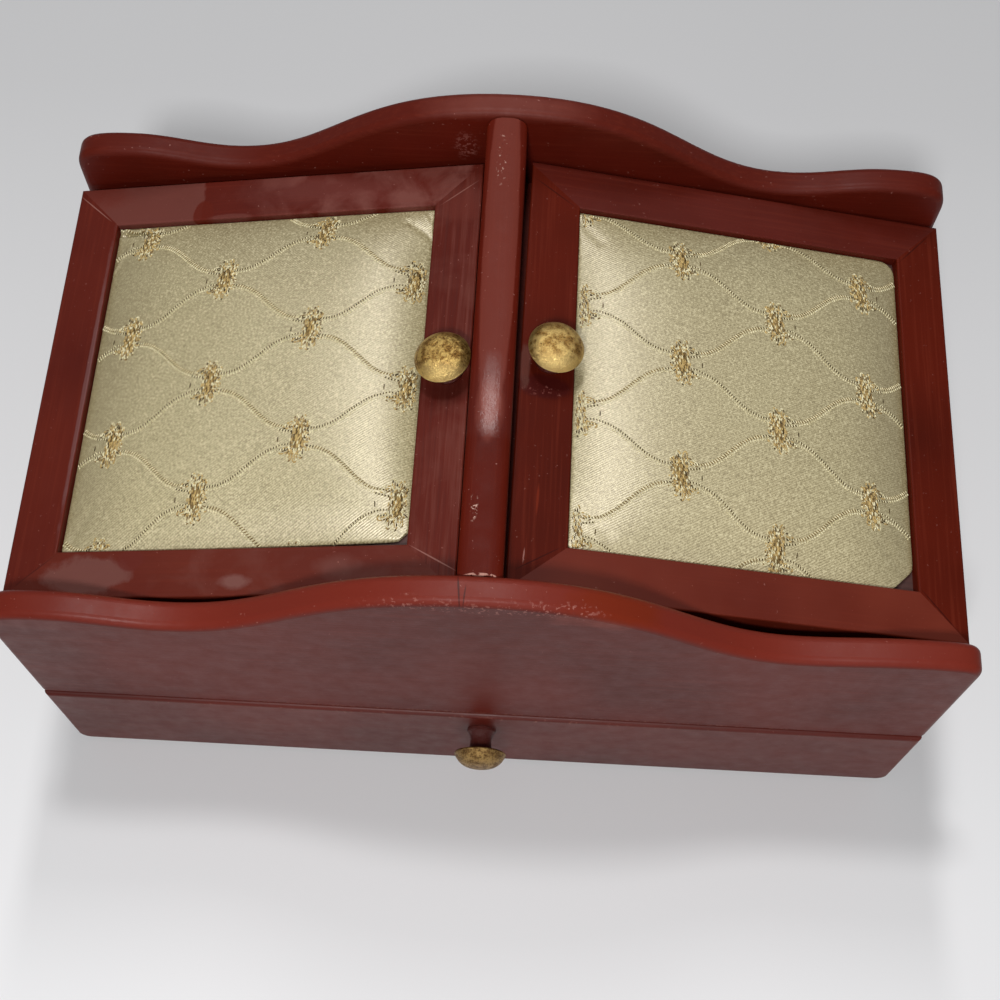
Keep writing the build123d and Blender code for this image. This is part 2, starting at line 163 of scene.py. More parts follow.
shader.inputs["Specular IOR Level"].default_value = paper["gloss"]
distance = addNode(tree, "ShaderNodeVectorMath", {0: place}, operation="LENGTH").outputs["Value"]
fade = {0: distance, 1: paper["fadeFrom"], 2: paper["fadeTo"]}
fade = addNode(tree, "ShaderNodeMapRange", fade, interpolation_type="SMOOTHSTEP")
eye = addNode(tree, "ShaderNodeLightPath").outputs["Is Camera Ray"]
fade = addNode(tree, "ShaderNodeMath", {0: fade, 1: eye}, operation="MULTIPLY")
glow = addNode(tree, "ShaderNodeEmission", {0: fill["colour"], 1: fill["level"] + fill["inCamera"]})
faded = addNode(tree, "ShaderNodeMixShader", {0: fade, 1: shader, 2: glow})
tree.links.new(faded.outputs[0], tree.nodes["Material Output"].inputs["Surface"])
bm = bmesh.new()
under = Matrix.Translation((0, 0, paper["height"]))
bmesh.ops.create_grid(bm, x_segments=4, y_segments=4, size=paper["size"], matrix=under)
floorMesh = bpy.data.meshes.new("floor")
bm.to_mesh(floorMesh)
bm.free()
floorMesh.materials.append(floorMaterial)
floor = bpy.data.objects.new("floor", floorMesh)
bpy.context.scene.collection.objects.link(floor)

lidSlope = math.radians(10.65)
hingeAxis = (0.1536008, 0.1016085)  # how far out and how high the hinge pins lie
# A lid's side of the box, and how far its middle lies toward the back
lids = {"left": {"side": -1, "shift": 0.1 * mm}, "right": {"side": 1, "shift": 1.9 * mm}}


def lidPlace(hand):
    # From a lid's own directions to the frame: x runs from the hinge to the divider, z out of the top.
    side, shift = lids[hand]["side"], lids[hand]["shift"]
    turn = Matrix.Rotation(side * lidSlope, 4, "Y")
    if side > 0:
        turn = turn @ Matrix.Rotation(math.pi, 4, "Z")
    return Matrix.Translation((side * hingeAxis[0], shift, hingeAxis[1])) @ turn


def alongLid(tree, place, hand):
    # Coordinates in the lid's own directions
    turn = lidPlace(hand)
    sockets = {0: place, 1: turn.to_translation(), 2: turn.to_euler()}
    return addNode(tree, "ShaderNodeMapping", sockets, vector_type="TEXTURE")


print("paint")

# Oil paint brushed on close-grained wood: deep red-brown and half matt. It has fine brush lines along the
# grain, cloudy patches where damp or hands dulled it, and small pale nicks. Sizes are real, in millimetres.
plainPaint = {
    "paint": "#58170B", "deep": "#4A1107", "patchSize": 55, "raggedSize": 7, "gritSize": 1.3,
    "grain": "X", "hairWide": 1.1, "hairLong": 45, "brush": 0.30, "peel": 0.0,
    "streak": "#702A1A", "streaks": 0.25, "line": "#3C1410", "lines": 0.0, "nick": "#A8746A", "nicks": 0.35,
    "clouds": 0.0, "cloudColour": "#7A4C44", "cloudSize": 22, "cloudFrom": 0.50, "cloudSoft": 0.10,
    "cloudStart": -400, "cloudFade": 25,
    "roughness": 0.46, "gloss": 0.25, "flatter": 0.0, "polish": None, "rim": None, "marks": (),
}


def paintedWood(name, changes, hand=None):
    look = {**plainPaint, **changes}
    made, tree, shader, place = newMaterial(name)
    spot = alongLid(tree, place, hand) if hand else place
    fine, long = 1 / (look["hairWide"] * mm), 1 / (look["hairLong"] * mm)
    hairs = (long, fine, fine) if look["grain"] == "X" else (fine, long, fine)
    hair = addNode(tree, "ShaderNodeMapping", {0: spot, 3: hairs})
    hair = addNode(tree, "ShaderNodeTexNoise", {0: hair, "Scale": 1.0, "Detail": 3.0, "Roughness": 0.6})
    broad = {0: spot, "Scale": 1 / (look["patchSize"] * mm), "Detail": 3.0}
    broad = addNode(tree, "ShaderNodeTexNoise", broad)
    ragged = {0: spot, "Scale": 1 / (look["raggedSize"] * mm), "Detail": 5.0, "Roughness": 0.6}
    ragged = addNode(tree, "ShaderNodeTexNoise", ragged)
    gritty = {0: spot, "Scale": 1 / (look["gritSize"] * mm), "Detail": 3.0, "Roughness": 0.6}
    gritty = addNode(tree, "ShaderNodeTexNoise", gritty)

    share = addNode(tree, "ShaderNodeMapRange", {0: broad, 1: 0.35, 2: 0.65})
    tone = addNode(tree, "ShaderNodeMix", {0: share, 6: look["deep"], 7: look["paint"]}, data_type="RGBA")
    # Surfaces that face up take the rim tone. On the front board it is lighter, partly worn paint and partly
    # a painted highlight on the rim's top. On the back board it is darker.
    if look["rim"]:
        facing = addNode(tree, "ShaderNodeTexCoord").outputs["Normal"]
        facing = addNode(tree, "ShaderNodeSeparateXYZ", {0: facing}).outputs["Z"]
        share = addNode(tree, "ShaderNodeMapRange", {0: facing, 1: 0.1, 2: 0.6, 4: 0.9})
        tone = addNode(tree, "ShaderNodeMix", {0: share, 6: tone, 7: look["rim"]}, data_type="RGBA")
    if look["clouds"]:
        cloud = {"Scale": 1 / (look["cloudSize"] * mm), "Detail": 4.0, "Roughness": 0.55, "Distortion": 0.4}
        cloud = addNode(tree, "ShaderNodeTexNoise", {0: spot, **cloud})
        first, start = look["cloudFrom"], look["cloudStart"] * mm
        share = {0: cloud, 1: first, 2: first + look["cloudSoft"], 4: look["clouds"]}
        share = addNode(tree, "ShaderNodeMapRange", share)
        along = addNode(tree, "ShaderNodeSeparateXYZ", {0: spot}).outputs["X"]
        along = addNode(tree, "ShaderNodeMapRange", {0: along, 1: start, 2: start + look["cloudFade"] * mm})
        share = addNode(tree, "ShaderNodeMath", {0: share, 1: along}, operation="MULTIPLY")
        tone = addNode(tree, "ShaderNodeMix", {0: share, 6: tone, 7: look["cloudColour"]}, data_type="RGBA")
    share = addNode(tree, "ShaderNodeMapRange", {0: hair, 1: 0.5, 2: 0.75, 4: look["streaks"]})
    tone = addNode(tree, "ShaderNodeMix", {0: share, 6: tone, 7: look["streak"]}, data_type="RGBA")
    if look["lines"]:
        share = addNode(tree, "ShaderNodeMapRange", {0: hair, 1: 0.36, 2: 0.48, 3: look["lines"], 4: 0.0})
        tone = addNode(tree, "ShaderNodeMix", {0: share, 6: tone, 7: look["line"]}, data_type="RGBA")
    for mark in look["marks"]:
        turn = (0, 0, math.radians(mark["turn"]))
        seat = {0: spot, 1: Vector(mark["at"]) * mm, 2: turn, 3: Vector(mark["size"]) * mm}
        away = addNode(tree, "ShaderNodeMapping", seat, vector_type="TEXTURE")
        away = addNode(tree, "ShaderNodeVectorMath", {0: away}, operation="LENGTH").outputs["Value"]
        away = {0: ragged, 1: mark["ragged"], 2: away}
        away = addNode(tree, "ShaderNodeMath", away, operation="MULTIPLY_ADD")
        edge = 1 + mark["ragged"] / 2
        share = {0: away, 1: edge - mark["soft"], 2: edge, 3: mark["share"], 4: 0.0}
        share = addNode(tree, "ShaderNodeMapRange", share)
        if mark["grit"]:
            flecks = {0: gritty, 1: mark["grit"], 2: mark["grit"] + 0.05}
            flecks = addNode(tree, "ShaderNodeMapRange", flecks)
            share = addNode(tree, "ShaderNodeMath", {0: share, 1: flecks}, operation="MULTIPLY")
        tone = addNode(tree, "ShaderNodeMix", {0: share, 6: tone, 7: mark["tone"]}, data_type="RGBA")
    share = addNode(tree, "ShaderNodeMapRange", {0: gritty, 1: 0.70, 2: 0.74, 4: look["nicks"]})
    tone = addNode(tree, "ShaderNodeMix", {0: share, 6: tone, 7: look["nick"]}, data_type="RGBA")
    tree.links.new(tone.outputs[2], shader.inputs["Base Color"])
    uneven = {0: ragged, 1: 0.3, 2: 0.7, 3: look["roughness"] - 0.05, 4: look["roughness"] + 0.08}
    tree.links.new(addNode(tree, "ShaderNodeMapRange", uneven).outputs[0], shader.inputs["Roughness"])
    shader.inputs["Specular IOR Level"].default_value = look["gloss"]
    height = addNode(tree, "ShaderNodeMath", {0: hair, 1: look["brush"]}, operation="MULTIPLY")
    height = {0: gritty, 1: 0.12 + look["peel"], 2: height}
    height = addNode(tree, "ShaderNodeMath", height, operation="MULTIPLY_ADD")
    bump = {"Strength": 0.4, "Distance": 0.25 * mm, "Height": height}
    if look["flatter"]:
        # A rounded top with a flatter crown: its light turns less across it.
        crown = addNode(tree, "ShaderNodeNewGeometry").outputs["Normal"]
        crown = {0: crown, 1: (1 - look["flatter"], 1, 1)}
        crown = addNode(tree, "ShaderNodeVectorMath", crown, operation="MULTIPLY")
        bump["Normal"] = addNode(tree, "ShaderNodeVectorMath", {0: crown}, operation="NORMALIZE")
    bump = addNode(tree, "ShaderNodeBump", bump)
    tree.links.new(bump.outputs[0], shader.inputs["Normal"])
    if look["polish"]:
        # Handled wood: between two places along it the varnish over the paint still shines.
        polish = look["polish"]
        depth = addNode(tree, "ShaderNodeSeparateXYZ", {0: spot}).outputs["Y"]
        rise = {0: depth, 1: polish["rises"][0] * mm, 2: polish["rises"][1] * mm}
        rise = addNode(tree, "ShaderNodeMapRange", rise)
        fall = {0: depth, 1: polish["falls"][0] * mm, 2: polish["falls"][1] * mm, 3: polish["share"], 4: 0.0}
        fall = addNode(tree, "ShaderNodeMapRange", fall)
        coat = addNode(tree, "ShaderNodeMath", {0: rise, 1: fall}, operation="MULTIPLY")
        tree.links.new(coat.outputs[0], shader.inputs["Coat Weight"])
        shader.inputs["Coat Roughness"].default_value = polish["roughness"]
        tree.links.new(bump.outputs[0], shader.inputs["Coat Normal"])
    return made


def patch(at, size, tone, share, soft=0.1, ragged=0.8, grit=None, turn=0):
    # An oval of another tone, with its half sizes. Its edge wanders by the ragged noise, and grit breaks it
    # into flecks. Places and sizes are in millimetres, turns in degrees.
    return {
        "at": at, "size": size, "tone": tone, "share": share, "soft": soft, "ragged": ragged, "grit": grit,
        "turn": turn,
    }


def scratch(u, v, long, turn, tone, share=0.7, wide=0.28):
    # A thin line, such as a cracked mitre
    return patch((u, v, 10), (long / 2, wide, 8), tone, share, soft=0.5, ragged=0.5, turn=turn)


# Patches and lines of other tones: at the mitres, around the knobs, and where the paint is rubbed, spilt or
# chipped. Some stand for light and shade, as said beside them.
leftMitres = (
    scratch(8.5, 70.5, 20, -41, "#8F6258"), scratch(12, -69, 18, 41, "#3A120D"),
    scratch(142, -67.5, 20, -30, "#9A6A60"), scratch(141.5, 67, 17, 36, "#8F6258", 0.5),
)
rightMitres = (
    scratch(11.5, 68.5, 21, -48, "#260806"), scratch(11.5, -68, 21, 48, "#2C0A06"),
    scratch(142, 67.5, 20, 33, "#2A0906"), scratch(142, -67.5, 20, -33, "#2C0A06"),
)
leftStile = {
    "grain": "Y", "paint": "#57190D", "deep": "#4C1309", "gloss": 0.15,
    "marks": (*leftMitres, patch((17.4, 0, 10), (0.9, 62, 8), "#6E4A48", 0.6, soft=0.4)),
}
hazyStile = {
    "grain": "Y", "paint": "#591D13", "deep": "#4E160D", "clouds": 0.5, "cloudSize": 17, "cloudSoft": 0.16,
    "gloss": 0.10, "cloudColour": "#613028", "streaks": 0.5, "streak": "#703C33", "line": "#4A1D17",
    "lines": 0.5, "hairWide": 1.3, "hairLong": 38, "brush": 0.9, "nicks": 0.4,
    "marks": (
        # Painted shade: a dark patch just in front of the left knob, where its shade falls
        patch((143, -9, 10), (9, 6, 6), "#3E120C", 0.6, soft=0.6),
        patch((143, 62, 10), (8, 9, 6), "#5E241B", 0.6, soft=0.6),
        *leftMitres,
    ),
}
leftBackRail = {
    "gloss": 0.15, "clouds": 0.65, "cloudSize": 13, "cloudStart": 62, "cloudSoft": 0.22, "cloudFrom": 0.40,
    "cloudColour": "#784840",
    "marks": (
        patch((10, 70, 10), (40, 40, 20), "#683A33", 0.72, soft=0.02, ragged=0.12),
        patch((8, 76, 10), (16, 9, 6), "#612218", 0.7, soft=0.7),
        patch((50, 64, 10), (4, 7, 6), "#551507", 0.9, ragged=0.4),
        patch((60, 63, 10), (9, 1.6, 6), "#683A33", 0.5, soft=0.3, ragged=0.6),
        patch((96, 72, 10), (44, 9, 6), "#74403A", 0.32, soft=0.7, ragged=1.1),
        *leftMitres,
    ),
}
leftFrontRail = {
    "gloss": 0.15, "paint": "#5C2115", "deep": "#53190F", "clouds": 0.32, "cloudSize": 15, "cloudSoft": 0.2,
    "cloudColour": "#6C433C",
    "marks": (
        patch((30, -71, 10), (16, 7, 6), "#6C4640", 0.65, soft=0.25, ragged=1.2),
        patch((44, -66, 10), (5, 4, 6), "#5A2018", 0.8, soft=0.2),
        patch((79, -74, 10), (6, 3.0, 6), "#7A5650", 0.55, soft=0.5, ragged=1.2),
        patch((112, -70, 10), (9, 5, 6), "#6E4740", 0.4, soft=0.6, ragged=1.2),
        *leftMitres,
    ),
}
rightStile = {
    "grain": "Y", "paint": "#541507", "deep": "#451005", "streaks": 0.35, "roughness": 0.52, "gloss": 0.07,
    "marks": (
        # Painted shade: a dark patch just in front of the right knob, where its shade falls
        patch((142, 8, 10), (10, 5, 6), "#3A0C0B", 0.7, soft=0.3),
        patch((142, 9.5, 10), (8, 2.5, 6), "#8A5048", 0.6, soft=0.5, grit=0.60),
        patch((149, 1, 10), (2.0, 9, 6), "#5C3A32", 0.5, soft=0.3, ragged=1.2),
        scratch(143, 48, 12, 88, "#7A2A16", 0.5, 0.5), scratch(146.5, 67, 6, 86, "#9A6A60", 0.7),
        *rightMitres,
    ),
}
rightBackRail = {"paint": "#52150B", "deep": "#471106", "gloss": 0.18, "marks": rightMitres}
rightFrontRail = {"paint": "#682617", "deep": "#581A0D", "gloss": 0.18, "marks": rightMitres}
frontBoard = {
    # the rim tone is partly a painted highlight on the top of the rim
    "rim": "#702519", "roughness": 0.42, "peel": 0.25, "gloss": 0.16, "nicks": 0.6,
    "marks": (
        patch((-140, -86, 130), (34, 9, 12), "#5E1A0E", 0.6, soft=0.6),
        patch((44, -86, 154), (38, 9, 9), "#6E220A", 0.8, soft=0.5, ragged=0.9),
        patch((20, -91, 56.4), (140, 3, 1.3), "#8C5A4C", 0.8, soft=0.3, grit=0.52),
        # Pale worn flecks along the front edge of the rim, which also serve as a painted highlight there
        patch((10, -90, 158), (60, 3, 4), "#B07A6E", 0.5, soft=0.6, grit=0.56),
        patch((-6.6, -87, 160), (0.4, 6, 6), "#3A120C", 0.9, soft=0.4, turn=6),
        patch((-4.9, -88, 160), (0.35, 4, 6), "#3A120C", 0.8, soft=0.4, turn=-5),
    ),
}
backBoard = {
    "paint": "#5A150A", "deep": "#4A1107", "rim": "#52160B", "nicks": 0.6, "peel": 0.2, "gloss": 0.12,
    "marks": (
        patch((-15, 81.5, 145), (5, 3, 9), "#8A5048", 0.6, soft=0.5, grit=0.52),
        # Painted highlight: a paler patch on the middle of the back rim
        patch((-4, 86, 161), (44, 7, 5), "#7A3E34", 0.45, soft=0.7),
    ),
}
divider = {
    "grain": "Y", "paint": "#561407", "deep": "#4B1106", "roughness": 0.42, "gloss": 0.05, "peel": 0.35,
    "flatter": 0.78, "streaks": 0.2, "nicks": 0.6,
    "polish": {"rises": (-37.5, -33.5), "falls": (-25, -7), "share": 0.24, "roughness": 0.18},
    "marks": (
        patch((-1, 34, 161), (6, 72, 6), "#783A30", 0.5, ragged=0.15),
        # Painted highlight: a paler patch where the top of the divider catches the light
        patch((-1, -27, 161), (5, 12, 6), "#8A4234", 0.5, soft=0.6, ragged=0.4),
        patch((-2, 64, 161), (2, 12, 3), "#C09A8C", 0.6, soft=0.4, grit=0.60),
        patch((-4, -60, 161), (1.6, 5, 3), "#D0A898", 0.8, soft=0.4, grit=0.55),
        patch((-0.5, -81.2, 161), (6.6, 0.5, 3), "#B98A7C", 0.8, soft=0.3, grit=0.46),
    ),
}
drawerFront = {
    "roughness": 0.42,
    "marks": (
        # A darker patch around the drawer knob
        patch((0, -92, 41), (9, 4, 8), "#45201C", 0.55, soft=0.6),
        patch((-10, -92, 53), (150, 3, 1.2), "#8C5A4C", 0.5, soft=0.3, grit=0.60),
    ),
}
inside = {"roughness": 0.6, "gloss": 0.15}

# Bronze-powder paint on a turned knob: dull gold, brushed and pitted, brown in the pits and worn to brown at
# the rim. The stem is painted like the box.
knobTop = 9.7 * mm  # how high over the hinge axis, square to the lid, the lid knobs stand
goldPaint = {
    "edge": 8.9 * mm, "soft": 0.3 * mm, "wander": 0.9 * mm,  # where the gold begins, over the stem
    "raggedSize": 2.2 * mm, "pitSize": 0.6 * mm, "smearSize": 2.4 * mm,
    "brown": "#4E3216", "sheenGold": "#EACB84", "stem": "#4A150D",
    # the paler gold toward the front is a painted highlight
    "sheenFrom": -3.0 * mm, "sheenTo": -8.0 * mm, "frontSheen": 0.8,  # forward of the knob's middle
    "metal": 0.8, "polished": 0.34, "dull": 0.55, "gloss": 0.3,
}
knobs = {
    "left_lid_knob": {
        "hand": "left", "u": 142.2 * mm, "v": -2.5 * mm, "pits": 0.46, "gold": "#8F6A32", "light": "#C2A25E",
    },
    "right_lid_knob": {
        "hand": "right", "u": 141.0 * mm, "v": -1.5 * mm, "pits": 0.42, "gold": "#9A743A", "light": "#CBAC6A",
    },
    "drawer_knob": {
        "hand": None, "seat": (0, -92 * mm, 39.5 * mm), "pits": 0.50, "gold": "#84663A", "light": "#9C7E4C",
    },
}


def goldKnob(name, knob):
    made, tree, shader, place = newMaterial(name)
    if knob["hand"]:
        turn = lidPlace(knob["hand"])
        seat = turn @ Vector((knob["u"], knob["v"], knobTop))
        axis = turn.to_3x3() @ Vector((0, 0, 1))
    else:
        seat, axis = Vector(knob["seat"]), Vector((0, -1, 0))
    offset = addNode(tree, "ShaderNodeVectorMath", {0: place, 1: seat}, operation="SUBTRACT")
    height = addNode(tree, "ShaderNodeVectorMath", {0: offset, 1: axis}, operation="DOT_PRODUCT")
    height = height.outputs["Value"]
    ragged = {0: place, "Scale": 1 / goldPaint["raggedSize"], "Detail": 3.0}
    ragged = addNode(tree, "ShaderNodeTexNoise", ragged)
    edge = {0: ragged, 1: goldPaint["wander"], 2: height}
    edge = addNode(tree, "ShaderNodeMath", edge, operation="MULTIPLY_ADD")
    gold = {0: edge, 1: goldPaint["edge"], 2: goldPaint["edge"] + goldPaint["soft"]}
    gold = addNode(tree, "ShaderNodeMapRange", gold)
    pits = {"Scale": 1 / goldPaint["pitSize"], "Detail": 4.0, "Roughness": 0.7, "Distortion": 0.6}
    pits = addNode(tree, "ShaderNodeTexNoise", {0: place, **pits})
    smear = {0: place, "Scale": 1 / goldPaint["smearSize"], "Detail": 3.0}
    smear = addNode(tree, "ShaderNodeTexNoise", smear)
    mixed = addNode(tree, "ShaderNodeMath", {0: smear, 1: 0.5, 2: pits}, operation="MULTIPLY_ADD")
    share = addNode(tree, "ShaderNodeMapRange", {0: smear, 1: 0.4, 2: 0.6})
    cap = addNode(tree, "ShaderNodeMix", {0: share, 6: knob["gold"], 7: knob["light"]}, data_type="RGBA")
    low = knob["pits"] + 0.22
    brown = addNode(tree, "ShaderNodeMapRange", {0: mixed, 1: low - 0.07, 2: low + 0.07, 3: 0.75, 4: 0.0})
    cap = addNode(tree, "ShaderNodeMix", {0: brown, 6: cap, 7: goldPaint["brown"]}, data_type="RGBA")
    if knob["hand"]:
        # Painted highlight: the side toward the front is a paler gold
        frontSheen = addNode(tree, "ShaderNodeSeparateXYZ", {0: offset}).outputs["Y"]
        start, end = goldPaint["sheenFrom"], goldPaint["sheenTo"]
        frontSheen = {0: frontSheen, 1: start, 2: end, 3: 0.0, 4: goldPaint["frontSheen"]}
        frontSheen = addNode(tree, "ShaderNodeMapRange", frontSheen)
        cap = addNode(tree, "ShaderNodeMix", {0: frontSheen, 6: cap, 7: goldPaint["sheenGold"]}, data_type="RGBA")
    tone = addNode(tree, "ShaderNodeMix", {0: gold, 6: goldPaint["stem"], 7: cap}, data_type="RGBA")
    tree.links.new(tone.outputs[2], shader.inputs["Base Color"])
    metal = addNode(tree, "ShaderNodeMath", {0: gold, 1: goldPaint["metal"]}, operation="MULTIPLY")
    tree.links.new(metal.outputs[0], shader.inputs["Metallic"])
    rough = {0: brown, 1: 0.0, 2: 0.75, 3: goldPaint["polished"], 4: goldPaint["dull"]}
    tree.links.new(addNode(tree, "ShaderNodeMapRange", rough).outputs[0], shader.inputs["Roughness"])
    shader.inputs["Specular IOR Level"].default_value = goldPaint["gloss"]
    bump = addNode(tree, "ShaderNodeBump", {"Strength": 0.7, "Distance": 0.45 * mm, "Height": mixed})
    tree.links.new(bump.outputs[0], shader.inputs["Normal"])
    return made


# Rolled or plated metal that has dulled in patches a few millimetres across
brass = {"colour": "#B9924A", "dulled": "#5A4630", "patch": 3 * mm, "roughness": 0.3}
steel = {"colour": "#A8A8A6", "dulled": "#5A4630", "patch": 3 * mm, "roughness": 0.3}


def plainMetal(name, look):
    made, tree, shader, place = newMaterial(name)
    stain = addNode(tree, "ShaderNodeTexNoise", {0: place, "Scale": 1 / look["patch"], "Detail": 4.0})
    share = addNode(tree, "ShaderNodeMapRange", {0: stain, 1: 0.45, 2: 0.75})
    tone = addNode(tree, "ShaderNodeMix", {0: share, 6: look["colour"], 7: look["dulled"]}, data_type="RGBA")
    tree.links.new(tone.outputs[2], shader.inputs["Base Color"])
    shader.inputs["Metallic"].default_value = 1.0
    rough = {0: stain, 1: 0.3, 2: 0.7, 3: look["roughness"], 4: look["roughness"] + 0.2}
    tree.links.new(addNode(tree, "ShaderNodeMapRange", rough).outputs[0], shader.inputs["Roughness"])
    return made


# Plywood: long soft grain lines about 2.5 mm apart
barePly = {"pale": "#C9A778", "dark": "#A9804F", "apart": 2.5 * mm, "long": 100 * mm}
stainedPly = {"pale": "#4A2A24", "dark": "#2E1612", "apart": 2.5 * mm, "long": 100 * mm}


def plywood(name, look):
    made, tree, shader, place = newMaterial(name)
    stretched = addNode(tree, "ShaderNodeMapping", {0: place, 3: (1 / look["long"], 1 / look["apart"], 1)})
    grain = addNode(tree, "ShaderNodeTexNoise", {0: stretched, "Scale": 1.0, "Detail": 4.0})
    share = addNode(tree, "ShaderNodeMapRange", {0: grain, 1: 0.35, 2: 0.7})
    tone = addNode(tree, "ShaderNodeMix", {0: share, 6: look["pale"], 7: look["dark"]}, data_type="RGBA")
    tree.links.new(tone.outputs[2], shader.inputs["Base Color"])
    shader.inputs["Roughness"].default_value = 0.6
    return made


rightStiles = paintedWood("satinOilPaintOnRightStiles", rightStile, "right")
lidPanels = plywood("stainedPlywood", stainedPly)
finishes = {
    "front_board": paintedWood("satinOilPaintOnFrontBoard", frontBoard),
    "back_board": paintedWood("satinOilPaintOnBackBoard", backBoard),
    "centre_divider": paintedWood("varnishedOilPaintOnDivider", divider),
    "drawer_front": paintedWood("satinOilPaintOnDrawer", drawerFront),
    "drawer_bottom": plywood("bareBirchPlywood", barePly),
    "left_lid_panel": lidPanels,
    "right_lid_panel": lidPanels,
    "left_lid_back_rail": paintedWood("satinOilPaintOnLeftBackRail", leftBackRail, "left"),
    "left_lid_front_rail": paintedWood("satinOilPaintOnLeftFrontRail", leftFrontRail, "left"),
    "left_lid_outer_stile": paintedWood("satinOilPaintOnLeftOuterStile", leftStile, "left"),
    "left_lid_inner_stile": paintedWood("rubbedOilPaintOnLeftInnerStile", hazyStile, "left"),
    "right_lid_back_rail": paintedWood("satinOilPaintOnRightBackRail", rightBackRail, "right"),
    "right_lid_front_rail": paintedWood("satinOilPaintOnRightFrontRail", rightFrontRail, "right"),
    "right_lid_outer_stile": rightStiles,
    "right_lid_inner_stile": rightStiles,
}
insidePaint = paintedWood("flatOilPaintInside", inside)
rolledBrass = plainMetal("rolledBrass", brass)
platedSteel = plainMetal("zincPlatedSteel", steel)
for name, node in nodes.items():
    if "screw" in name:
        finish = platedSteel
    elif "hinge" in name:
        finish = rolledBrass
    elif name in knobs:
        finish = goldKnob(name + "BronzePowderPaint", knobs[name])
    else:
        finish = finishes.get(name, insidePaint)
    for slot in range(len(node.data.materials)):
        node.data.materials[slot] = finish

print("cushions")

cushion = {
    "across": 34, "down": 38,  # squares of the starting grid
    "bend": 1.25,  # draws the grid's rows together toward the rim
    "press": 0.15 * mm,  # how far the sides press against the frame
    "edge": 7.3 * mm, "crown": 8.2 * mm,  # height of the rim, and how far the middle rises over it
    "side": 6.0 * mm,  # where the sides are turned down
    "left": 6.0, "right": 3.7,  # how squarely the cloth turns down beside the divider
    "outer": 2.4, "rails": 5,  # the same beside the outer stile, and beside the rails
    "frames": 20, "cap": 1.5 * mm,  # steps of the blowing up, and how far it may move a point
    "tuck": 0.55 * mm, "tuckReach": 5.0 * mm, "tucks": 12,
    "uneven": 0.12 * mm, "unevenScale": 45,
}
clothSettings = {
    "quality": 6, "mass": 0.15, "tension_stiffness": 25, "compression_stiffness": 25,
    "bending_stiffness": 1.0, "use_pressure": True, "uniform_pressure_force": 4.0,
    "vertex_group_mass": "held",
}
# Folds at the corners: from one place to another in the lid's directions, then height and half width
folds = {
    "left": (
        ((19.5, 60.6), (30.5, 60.0), 1.7, 0.7), ((19.5, 57.6), (30.0, 57.0), 1.4, 0.7),
        ((21.0, 59.0), (30.0, 58.4), -1.2, 0.6), ((18.0, 42.0), (24.0, 54.5), 0.35, 0.5),
        ((133.6, 61.0), (133.4, 52.0), 1.0, 1.1), ((124.5, 56.5), (132.0, 51.0), -0.5, 1.4),
        ((129.0, 60.0), (132.0, 55.0), 0.4, 1.2), ((22, -58), (27, -48), -0.3, 1.6),
    ),
    "right": (
        ((132.0, 55.0), (127.0, 60.0), 0.3, 1.6), ((128.0, 50.0), (120.0, 57.0), -0.2, 2.0),
        ((22.0, 56.0), (29.0, 49.0), -0.25, 1.8), ((131.0, -58.0), (125.0, -50.0), -0.3, 1.8),
    ),
}
# At a corner the cloth is folded in; the left cushion's front edge also runs a little askew.
corners = {
    "left": {"chamfers": {(1, -1): 5.5 * mm, (-1, 1): 1.5 * mm}, "frontSkew": 2.3 * mm},
    "right": {"chamfers": {(-1, 1): 8.0 * mm, (-1, -1): 4.0 * mm, (1, 1): 1.5 * mm}, "frontSkew": 0.0},
}


def openingOf(hand):
    toLid = lidPlace(hand).inverted()
    spots = [toLid @ v.co for v in nodes[hand + "_lid_pad"].data.vertices]
    low = Vector([min(s[i] for s in spots) for i in range(3)])
    high = Vector([max(s[i] for s in spots) for i in range(3)])
    return low, high


def addObject(name, mesh, body):
    made = bpy.data.objects.new(name, mesh)
    bpy.context.scene.collection.objects.link(made)
    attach(made, body)
    return made


def puffed(start, pinned):
    # Blows the cloth up a little with its rim held, and returns the new places of its points.
    made = bpy.data.objects.new("puffing", start)
    bpy.context.scene.collection.objects.link(made)
    group = made.vertex_groups.new(name="held")
    group.add(pinned, 1.0, "REPLACE")
    cloth = made.modifiers.new("cloth", "CLOTH")
    for name, value in clothSettings.items():
        setattr(cloth.settings, name, value)
    cloth.settings.effector_weights.gravity = 0
    cloth.collision_settings.use_collision = False
    cloth.point_cache.frame_start = 1
    cloth.point_cache.frame_end = cushion["frames"]
    for tick in range(1, cushion["frames"] + 1):
        bpy.context.scene.frame_set(tick)
    final = made.evaluated_get(bpy.context.evaluated_depsgraph_get())
    places = [v.co.copy() for v in final.data.vertices]
    bpy.context.scene.frame_set(1)
    bpy.data.objects.remove(made)
    return places


